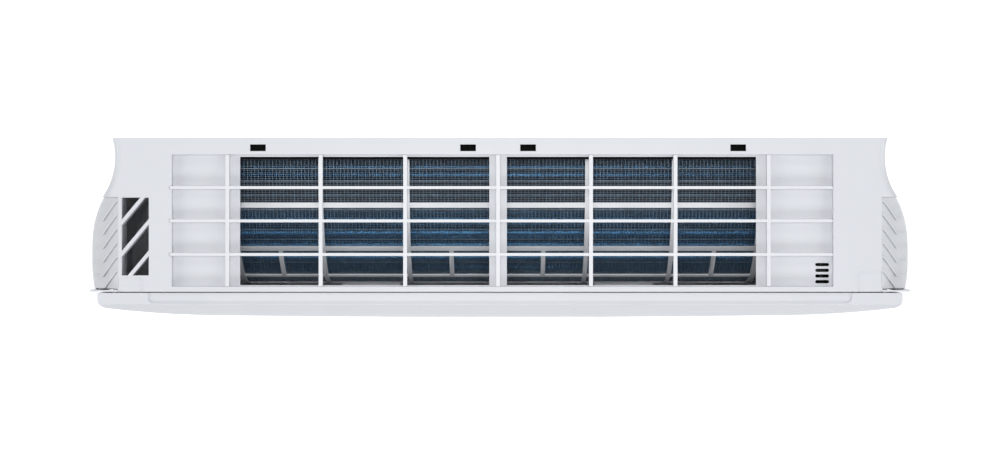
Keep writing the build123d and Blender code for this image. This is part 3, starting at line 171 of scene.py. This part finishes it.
BRUSHED = (0.12, 1.0, 1.0)
MATERIALS = {
    "shell": surface("shell_plastic", (0.585, 0.60, 0.63), 0.40, 1600.0, 0.10, tone=0.012),
    "gloss": surface("panel_plastic", (0.585, 0.60, 0.63), 0.45, 900.0, 0.03, tone=0.010, coat=0.05),
    # Intake grille: the shell's white plastic made a little lighter, a painted highlight for its ribs
    "lattice": surface("lattice_plastic_painted_highlight", (0.63, 0.645, 0.67), 0.36, 1600.0, 0.08, tone=0.012),
    # Side panels: the shell's white plastic made a little darker, painted shade for their tilt away from
    # the top light
    "side": surface("side_plastic_painted_shade", (0.56, 0.575, 0.595), 0.46, 1400.0, 0.12, tone=0.015),
    # Filter frame: the same white plastic made much lighter than the shell, painted light that brightens
    # its bars in the shade under the grille
    "frame": surface("filter_plastic_painted_light", (0.75, 0.765, 0.79), 0.5, 1200.0, 0.12, tone=0.03),
    # Chassis and inner parts: real plastic, with a near-black colour and dulled reflection that paint in
    # the shade inside the unit
    "inner": surface("inner_plastic_painted_shade", (0.003, 0.0031, 0.0035), 0.6, 1300.0, 0.2, tone=0.12,
                     specular=0.06),
    "pan": surface("pan_plastic", (0.42, 0.43, 0.44), 0.5, 1300.0, 0.15, tone=0.05),
    "black": surface("black_plastic", (0.012, 0.012, 0.014), 0.5, 1300.0, 0.2, tone=0.15, specular=0.3),
    "net": surface("net_thread", (0.10, 0.15, 0.205), 0.45, 2400.0, 0.2, tone=0.3, cloud=160.0),
    "fin": surface("fin_aluminium", (0.08, 0.31, 0.60), 0.38, 1800.0, 0.1, tone=0.15, metallic=0.5,
                   cloud=60.0),
    "zinc": surface("zinc_steel", (0.56, 0.58, 0.60), 0.42, 420.0, 0.12, tone=0.16, metallic=0.95,
                    cloud=120.0),
    "steel": surface("ground_steel", (0.62, 0.62, 0.63), 0.28, 2200.0, 0.1, tone=0.06, metallic=1.0,
                     stretch=BRUSHED),
    "copper": surface("copper_tube", (0.70, 0.34, 0.19), 0.32, 900.0, 0.1, tone=0.14, metallic=1.0,
                      cloud=90.0),
    "brass": surface("turned_brass", (0.72, 0.54, 0.24), 0.3, 1500.0, 0.08, tone=0.08, metallic=1.0),
    "rubber": surface("rubber", (0.022, 0.022, 0.022), 0.78, 1500.0, 0.3, tone=0.2),
    "foam": surface("foam", (0.05, 0.05, 0.055), 0.92, 700.0, 0.9, tone=0.3, cloud=300.0),
    "board": surface("circuit_board", (0.03, 0.17, 0.07), 0.35, 900.0, 0.1, tone=0.25, cloud=260.0),
    "window": surface("tinted_window", (0.05, 0.055, 0.06), 0.14, 700.0, 0.02, tone=0.1, coat=0.6),
    "floor": surface("studio_floor", (0.97, 0.972, 0.975), 0.8, 300.0, 0.02, tone=0.004, cloud=2.0,
                     glow=0.22),
}
NODE_MATERIALS = {
    "shell": ["casing"],
    "gloss": ["front_panel", "vane", "screw_caps", "auto_button"],
    "lattice": ["intake_grille"],
    "side": ["side_panel_left", "side_panel_right"],
    "frame": ["filter_left_frame", "filter_right_frame"],
    "inner": [
        "chassis", "louvre_link_left", "louvre_link_right", "bearing_holder", "control_box",
        "control_box_cover",
    ],
    "pan": ["drain_pan"],
    "black": ["fan_wheel", "terminal_block", "room_thermistor"],
    "net": ["filter_left_mesh", "filter_right_mesh"],
    "fin": ["evaporator_front", "evaporator_rear"],
    "zinc": [
        "mounting_plate", "tube_sheet_left", "tube_sheet_right", "motor_clamp", "vane_motor", "fan_motor",
    ],
    "steel": ["fan_stub_shaft", "motor_shaft", "casing_screws"],
    "copper": ["tube_bends_left", "tube_bends_right", "gas_pipe", "liquid_pipe", "pipe_thermistor"],
    "brass": ["pipe_unions"],
    "rubber": ["drain_cap", "fan_bearing"],
    "foam": ["evaporator_seal"],
    "board": ["control_board", "display_board"],
    "window": ["display_window"],
}
NODE_MATERIALS["black"] += [
    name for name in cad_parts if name.startswith("louvre_") and "link" not in name
]
for key, names in NODE_MATERIALS.items():
    for name in names:
        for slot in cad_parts[name].material_slots:
            slot.material = MATERIALS[key]


# ---- mesh helpers

def finish_mesh(mesh, name, material, body, replaced=()):
    """Turns a bmesh into a named piece that rides on a body."""
    bmesh.ops.recalc_face_normals(mesh, faces=mesh.faces)
    data = bpy.data.meshes.new(name)
    mesh.to_mesh(data)
    mesh.free()
    data.materials.append(MATERIALS[material])
    piece = add_object(name, data)
    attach(piece, body)
    if replaced:
        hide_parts(*replaced)
    return piece


def loft(mesh, rings, closed=False):
    """Joins rings of points into a tube, with a cap at each end unless it is closed."""
    made = [[mesh.verts.new(p) for p in ring] for ring in rings]
    pairs = list(zip(made, made[1:]))
    if closed:
        pairs.append((made[-1], made[0]))
    for a, b in pairs:
        for i in range(len(a)):
            j = (i + 1) % len(a)
            mesh.faces.new((a[i], a[j], b[j], b[i]))
    if not closed:
        mesh.faces.new(list(reversed(made[0])))
        mesh.faces.new(made[-1])


def strip(points, thickness):
    """Outline of even thickness to the left of a chain of points."""
    left = []
    for i, here in enumerate(points):
        before = points[max(i - 1, 0)]
        after = points[min(i + 1, len(points) - 1)]
        normals = []
        for a, b in ((before, here), (here, after)):
            length = math.dist(a, b)
            if length:
                normals.append(((a[1] - b[1]) / length, (b[0] - a[0]) / length))
        mean = [sum(n[k] for n in normals) / len(normals) for k in (0, 1)]
        stretch = thickness / (mean[0] ** 2 + mean[1] ** 2)
        left.append((here[0] + mean[0] * stretch, here[1] + mean[1] * stretch))
    return [*points, *reversed(left)]


def tube_places(line):
    """Middles of the tubes in one coil, in two rows, as their return bends have them."""
    places = []
    for start, end in zip(line, line[1:]):
        length = math.dist(start, end)
        step = ((end[0] - start[0]) / length, (end[1] - start[1]) / length)
        count = int((length - TUBE_END_MARGIN) // BEND_PITCH) + 1
        for row in TUBE_ROWS:
            for i in range(count):
                middle = length / 2 + (i - (count - 1) / 2) * BEND_PITCH
                for along in (middle - TUBE_BEND_RADIUS, middle + TUBE_BEND_RADIUS):
                    out = start[0] + step[0] * along - step[1] * row
                    places.append((out, start[1] + step[1] * along + step[0] * row))
    return places


def coil(node, line):
    """A stack of thin fins with the copper tubes through them."""
    outline = strip(line, COIL_THICKNESS)
    mesh = bmesh.new()
    span = COIL_ENDS[1] - COIL_ENDS[0] - FIN_THICKNESS
    count = int(span / FIN_PITCH)
    pitch = span / count
    for i in range(count + 1):
        x = COIL_ENDS[0] + i * pitch
        loft(mesh, [[point(x + side, *p) for p in outline] for side in (0, FIN_THICKNESS)])
    finish_mesh(mesh, node + "_fins", "fin", "unit", [node])
    tubes = bmesh.new()
    turns = [2 * math.pi * i / TUBE_SIDES for i in range(TUBE_SIDES)]
    for out, z in tube_places(line):
        ring = [(out + TUBE_RADIUS * math.cos(turn), z + TUBE_RADIUS * math.sin(turn)) for turn in turns]
        loft(tubes, [[point(x, *p) for p in ring] for x in COIL_ENDS])
    finish_mesh(tubes, node + "_tubes", "fin", "unit")


coil("evaporator_front", FRONT_COIL)
coil("evaporator_rear", REAR_COIL)


# ---- filter nets

def on_net(angle, radius):
    turn = math.radians(angle)
    return (FILTER_AXIS[0] + radius * math.cos(turn), FILTER_AXIS[1] + radius * math.sin(turn))


def net(side):
    """Threads round the arc, lying over threads along the unit, of which a few are thicker."""
    low_x, high_x = NETS[side]
    mesh = bmesh.new()
    count = round((high_x - low_x - WARP_WIDTH) / WARP_PITCH)
    pitch = (high_x - low_x - WARP_WIDTH) / count
    sweep = NET_ANGLES[1] - NET_ANGLES[0]
    angles = [NET_ANGLES[0] + sweep * i / NET_ARC_STEPS for i in range(NET_ARC_STEPS + 1)]
    for i in range(count + 1):
        x = low_x + i * pitch
        rings = []
        for angle in angles:
            outer = on_net(angle, NET_RADIUS + NET_DEPTH)
            inner = on_net(angle, NET_RADIUS - NET_OVERLAP)
            far_x = x + WARP_WIDTH
            rings.append([point(x, *outer), point(far_x, *outer), point(far_x, *inner), point(x, *inner)])
        loft(mesh, rings)
    rows = round(math.radians(sweep) * NET_RADIUS / WEFT_PITCH)
    threads = [(NET_ANGLES[0] + sweep * (i + 0.5) / rows, WEFT_WIDTH) for i in range(rows)]
    threads += [(angle, NET_RIB_WIDTH) for angle in NET_RIB_ANGLES]
    for angle, wide in threads:
        half = math.degrees(wide / 2 / NET_RADIUS)
        ring = [
            on_net(angle - half, NET_RADIUS - NET_DEPTH),
            on_net(angle + half, NET_RADIUS - NET_DEPTH),
            on_net(angle + half, NET_RADIUS + NET_OVERLAP),
            on_net(angle - half, NET_RADIUS + NET_OVERLAP),
        ]
        loft(mesh, [[point(x, *p) for p in ring] for x in (low_x, high_x)])
    finish_mesh(mesh, f"filter_net_{side}", "net", f"filter_{side}", [f"filter_{side}_mesh"])


net("left")
net("right")


# ---- studio

def area_light(name, place, target, size, energy):
    data = bpy.data.lights.new(name, "AREA")
    data.shape = "RECTANGLE"
    data.size, data.size_y = size
    data.energy = energy
    light = add_object(name, data)
    light.location = place
    light.rotation_euler = (Vector(target) - Vector(place)).to_track_quat("-Z", "Y").to_euler()


for light_row in LIGHTS:
    area_light(*light_row)

world = bpy.data.worlds.new("studio")
bpy.context.scene.world = world
world.use_nodes = True
background = world.node_tree.nodes["Background"]
background.inputs["Color"].default_value = WORLD_COLOUR
background.inputs["Strength"].default_value = WORLD_STRENGTH

floor_mesh = bmesh.new()
for x, y in ((-1, -1), (1, -1), (1, 1), (-1, 1)):
    floor_mesh.verts.new((x * FLOOR_HALF, y * FLOOR_HALF, FLOOR_Z))
floor_mesh.faces.new(floor_mesh.verts)
floor_data = bpy.data.meshes.new("floor")
floor_mesh.to_mesh(floor_data)
floor_mesh.free()
floor_data.materials.append(MATERIALS["floor"])
floor = add_object("floor", floor_data)

camera_data = bpy.data.cameras.new("camera")
camera_data.lens = CAMERA_LENS
camera_data.sensor_width = SENSOR_WIDTH
camera_data.clip_end = 50.0
camera = add_object("camera", camera_data)
camera.location = CAMERA_PLACE
bpy.context.scene.camera = camera
bpy.context.scene.view_settings.view_transform = "Standard"
